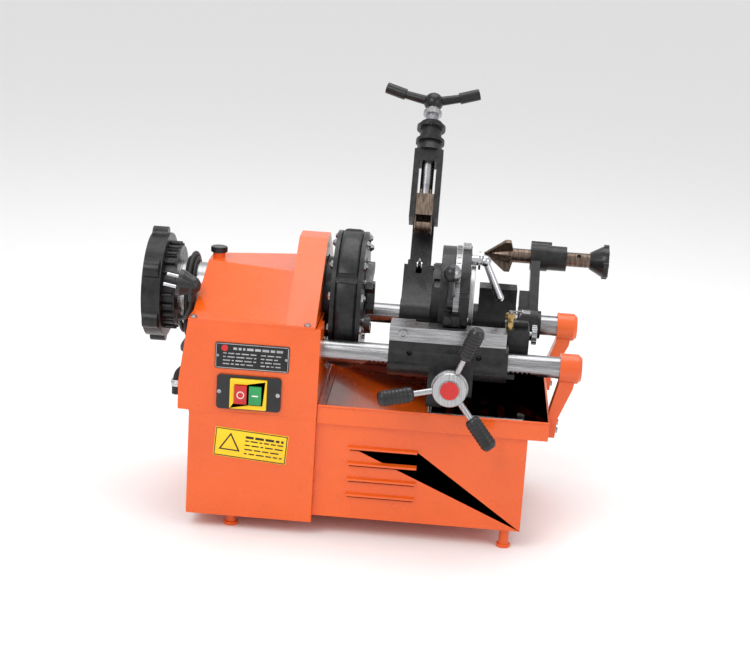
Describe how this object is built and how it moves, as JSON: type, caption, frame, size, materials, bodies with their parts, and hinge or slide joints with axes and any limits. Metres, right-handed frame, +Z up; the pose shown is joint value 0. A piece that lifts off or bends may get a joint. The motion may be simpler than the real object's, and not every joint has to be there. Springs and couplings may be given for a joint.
{
  "type": "pipe threading machine",
  "caption": "Bench pipe threading machine with hammer chuck, rear centring chuck, carriage with cutter, die head and reamer, orange sheet housing and oil pan.",
  "frame": {"origin": "middle of the machine's box, on the floor under the feet", "axes": "+X along the spindle towards the carriage, +Y to the back, +Z up; the operator stands at -Y"},
  "size_m": [0.673, 0.5453, 0.5812],
  "materials": {
    "orange_paint": "gloss",
    "orange_cast": "satin",
    "black_cast": "satin",
    "steel": "polished",
    "dark_steel": "satin",
    "brown_steel": "satin",
    "brass": "satin",
    "black_rubber": "matte",
    "black_plastic": "satin",
    "yellow_plastic": "satin",
    "red_plastic": "gloss",
    "green_plastic": "gloss"
  },
  "bodies": {
    "stand": {"base_box": "orange_paint", "feet": "orange_paint", "base_cabinet": "orange_paint", "oil_pan": "orange_paint", "chip_tray": "dark_steel", "headstock_housing": "orange_paint", "spindle_cover": "orange_paint", "cover_screws": "steel", "nameplate": "black_plastic", "switch_plate": "black_plastic", "switch_frame": "yellow_plastic", "warning_label": "yellow_plastic", "gear_case": "dark_steel", "motor_body": "dark_steel", "rail_front": "steel", "rail_rear": "steel", "rail_brackets": "orange_cast", "drain_hose": "black_rubber", "cord_coil": "black_rubber", "cord_lead": "black_rubber", "cord_plug": "black_plastic"},
    "cap": {"filler_cap": "black_plastic"},
    "stop": {"stop_button": "red_plastic"},
    "start": {"start_button": "green_plastic"},
    "idler_one": {"idler1": "steel"},
    "idler_two": {"idler2": "steel"},
    "motor": {"motor_shaft": "steel"},
    "spindle": {"spindle_tube": "steel", "chuck_body": "black_cast", "rear_chuck_body": "black_cast", "rear_jaws": "steel"},
    "drum": {"chuck_drum": "black_cast", "chuck_nuts": "steel"},
    "jaw_a": {"jaw_1": "steel"},
    "jaw_b": {"jaw_2": "steel"},
    "jaw_c": {"jaw_3": "steel"},
    "scroll": {"rear_scroll_ring": "black_cast"},
    "carriage": {"carriage_casting": "black_cast", "guide_bar": "steel", "depth_stop": "steel", "oil_valve": "brass"},
    "feed": {"feed_pinion": "steel", "wheel_hub": "steel", "wheel_grips": "black_plastic"},
    "die_head": {"die_body": "black_cast", "die_rim": "steel"},
    "cam": {"cam_plate": "steel"},
    "clamp": {"clamp_lever": "steel"},
    "chaser_a": {"chaser_1": "dark_steel"},
    "chaser_b": {"chaser_2": "dark_steel"},
    "chaser_c": {"chaser_3": "dark_steel"},
    "chaser_d": {"chaser_4": "dark_steel"},
    "cutter": {"cutter_frame": "black_cast"},
    "wheel": {"cutting_wheel": "steel"},
    "slide": {"cutter_slide": "brown_steel"},
    "screw": {"cutter_screw": "black_cast"},
    "reamer": {"reamer_arm": "black_cast"},
    "reamer_rod": {"reamer_shaft": "brown_steel", "reamer_knob": "black_plastic"}
  },
  "joints": [
    {"name": "filler_cap_turn", "type": "hinge", "parent": "stand", "child": "cap", "pos_m": [-0.2365, -0.06424, 0.363], "axis": [0, 0, 1], "range_deg": [0, 90]},
    {"name": "stop_press", "type": "slide", "parent": "stand", "child": "stop", "axis": [0, 1, 0], "range_m": [0, 0.003], "stiffness_N_per_m": 800},
    {"name": "start_press", "type": "slide", "parent": "stand", "child": "start", "axis": [0, 1, 0], "range_m": [0, 0.003], "stiffness_N_per_m": 800},
    {"name": "spindle_turn", "type": "hinge", "parent": "stand", "child": "spindle", "pos_m": [-0.0445, -0.06424, 0.309], "axis": [1, 0, 0], "continuous": true},
    {"name": "idler_one_turn", "type": "hinge", "parent": "stand", "child": "idler_one", "pos_m": [-0.1245, -0.0611, 0.21905], "axis": [1, 0, 0], "continuous": true},
    {"name": "idler_two_turn", "type": "hinge", "parent": "stand", "child": "idler_two", "pos_m": [-0.1445, -0.06307, 0.16284], "axis": [1, 0, 0], "continuous": true},
    {"name": "motor_turn", "type": "hinge", "parent": "stand", "child": "motor", "pos_m": [-0.1045, -0.06095, 0.10213], "axis": [1, 0, 0], "continuous": true},
    {"name": "drum_turn", "type": "hinge", "parent": "spindle", "child": "drum", "pos_m": [-0.0445, -0.06424, 0.309], "axis": [1, 0, 0], "range_deg": [0, 20]},
    {"name": "jaw_one_turn", "type": "hinge", "parent": "spindle", "child": "jaw_a", "pos_m": [-0.0175, -0.06424, 0.356], "axis": [1, 0, 0], "range_deg": [0, 20]},
    {"name": "jaw_two_turn", "type": "hinge", "parent": "spindle", "child": "jaw_b", "pos_m": [-0.0175, -0.10495, 0.2855], "axis": [1, 0, 0], "range_deg": [0, 20]},
    {"name": "jaw_three_turn", "type": "hinge", "parent": "spindle", "child": "jaw_c", "pos_m": [-0.0175, -0.02354, 0.2855], "axis": [1, 0, 0], "range_deg": [0, 20]},
    {"name": "scroll_turn", "type": "hinge", "parent": "spindle", "child": "scroll", "pos_m": [-0.3205, -0.06424, 0.309], "axis": [1, 0, 0], "range_deg": [-25, 25]},
    {"name": "carriage_feed", "type": "slide", "parent": "stand", "child": "carriage", "axis": [1, 0, 0], "range_m": [-0.02, 0.024]},
    {"name": "handwheel_turn", "type": "hinge", "parent": "carriage", "child": "feed", "pos_m": [0.1091, -0.17424, 0.2405], "axis": [0, 1, 0], "range_deg": [-130, 110]},
    {"name": "die_head_swing", "type": "hinge", "parent": "carriage", "child": "die_head", "pos_m": [0.1155, 0.04576, 0.261], "axis": [-1, 0, 0], "range_deg": [0, 70]},
    {"name": "cam_turn", "type": "hinge", "parent": "die_head", "child": "cam", "pos_m": [0.1085, -0.06424, 0.309], "axis": [-1, 0, 0], "range_deg": [0, 22]},
    {"name": "clamp_turn", "type": "hinge", "parent": "die_head", "child": "clamp", "pos_m": [0.1355, -0.08424, 0.383], "axis": [1, 0, 0], "range_deg": [-20, 40]},
    {"name": "chaser_one_slide", "type": "slide", "parent": "die_head", "child": "chaser_a", "axis": [0, -0.7071, 0.7071], "range_m": [0, 0.0045]},
    {"name": "chaser_two_slide", "type": "slide", "parent": "die_head", "child": "chaser_b", "axis": [0, -0.7071, -0.7071], "range_m": [0, 0.0045]},
    {"name": "chaser_three_slide", "type": "slide", "parent": "die_head", "child": "chaser_c", "axis": [0, 0.7071, -0.7071], "range_m": [0, 0.0045]},
    {"name": "chaser_four_slide", "type": "slide", "parent": "die_head", "child": "chaser_d", "axis": [0, 0.7071, 0.7071], "range_m": [0, 0.0045]},
    {"name": "cutter_swing", "type": "hinge", "parent": "carriage", "child": "cutter", "pos_m": [0.048, 0.04576, 0.261], "axis": [1, 0, 0], "range_deg": [0, 101]},
    {"name": "cutting_wheel_turn", "type": "hinge", "parent": "cutter", "child": "wheel", "pos_m": [0.048, 0.09164, 0.32653], "axis": [1, 0, 0], "continuous": true},
    {"name": "cutter_jaw_slide", "type": "slide", "parent": "cutter", "child": "slide", "axis": [0, 0.5736, 0.8192], "range_m": [-0.01, 0.036]},
    {"name": "cutter_screw_turn", "type": "hinge", "parent": "slide", "child": "screw", "pos_m": [0.048, 0.21783, 0.50675], "axis": [0, 0.5736, 0.8192], "range_deg": [-1200, 4320]},
    {"name": "reamer_swing", "type": "hinge", "parent": "carriage", "child": "reamer", "pos_m": [0.2175, 0.04576, 0.261], "axis": [1, 0, 0], "range_deg": [0, 111]},
    {"name": "reamer_push", "type": "slide", "parent": "reamer", "child": "reamer_rod", "axis": [-1, 0, 0], "range_m": [0, 0.011]}
  ],
  "couplings": [
    {"joint": "idler_one_turn", "follows": "spindle_turn", "ratio": -4},
    {"joint": "idler_two_turn", "follows": "spindle_turn", "ratio": 16},
    {"joint": "motor_turn", "follows": "spindle_turn", "ratio": -56},
    {"joint": "jaw_one_turn", "follows": "drum_turn", "ratio": 1},
    {"joint": "jaw_two_turn", "follows": "drum_turn", "ratio": 1},
    {"joint": "jaw_three_turn", "follows": "drum_turn", "ratio": 1},
    {"joint": "handwheel_turn", "follows": "carriage_feed", "rad_per_m": -83.333},
    {"joint": "chaser_one_slide", "follows": "cam_turn", "m_per_rad": 0.0115},
    {"joint": "chaser_two_slide", "follows": "cam_turn", "m_per_rad": 0.0115},
    {"joint": "chaser_three_slide", "follows": "cam_turn", "m_per_rad": 0.0115},
    {"joint": "chaser_four_slide", "follows": "cam_turn", "m_per_rad": 0.0115},
    {"joint": "cutter_screw_turn", "follows": "cutter_jaw_slide", "rad_per_m": 2094.4}
  ]
}
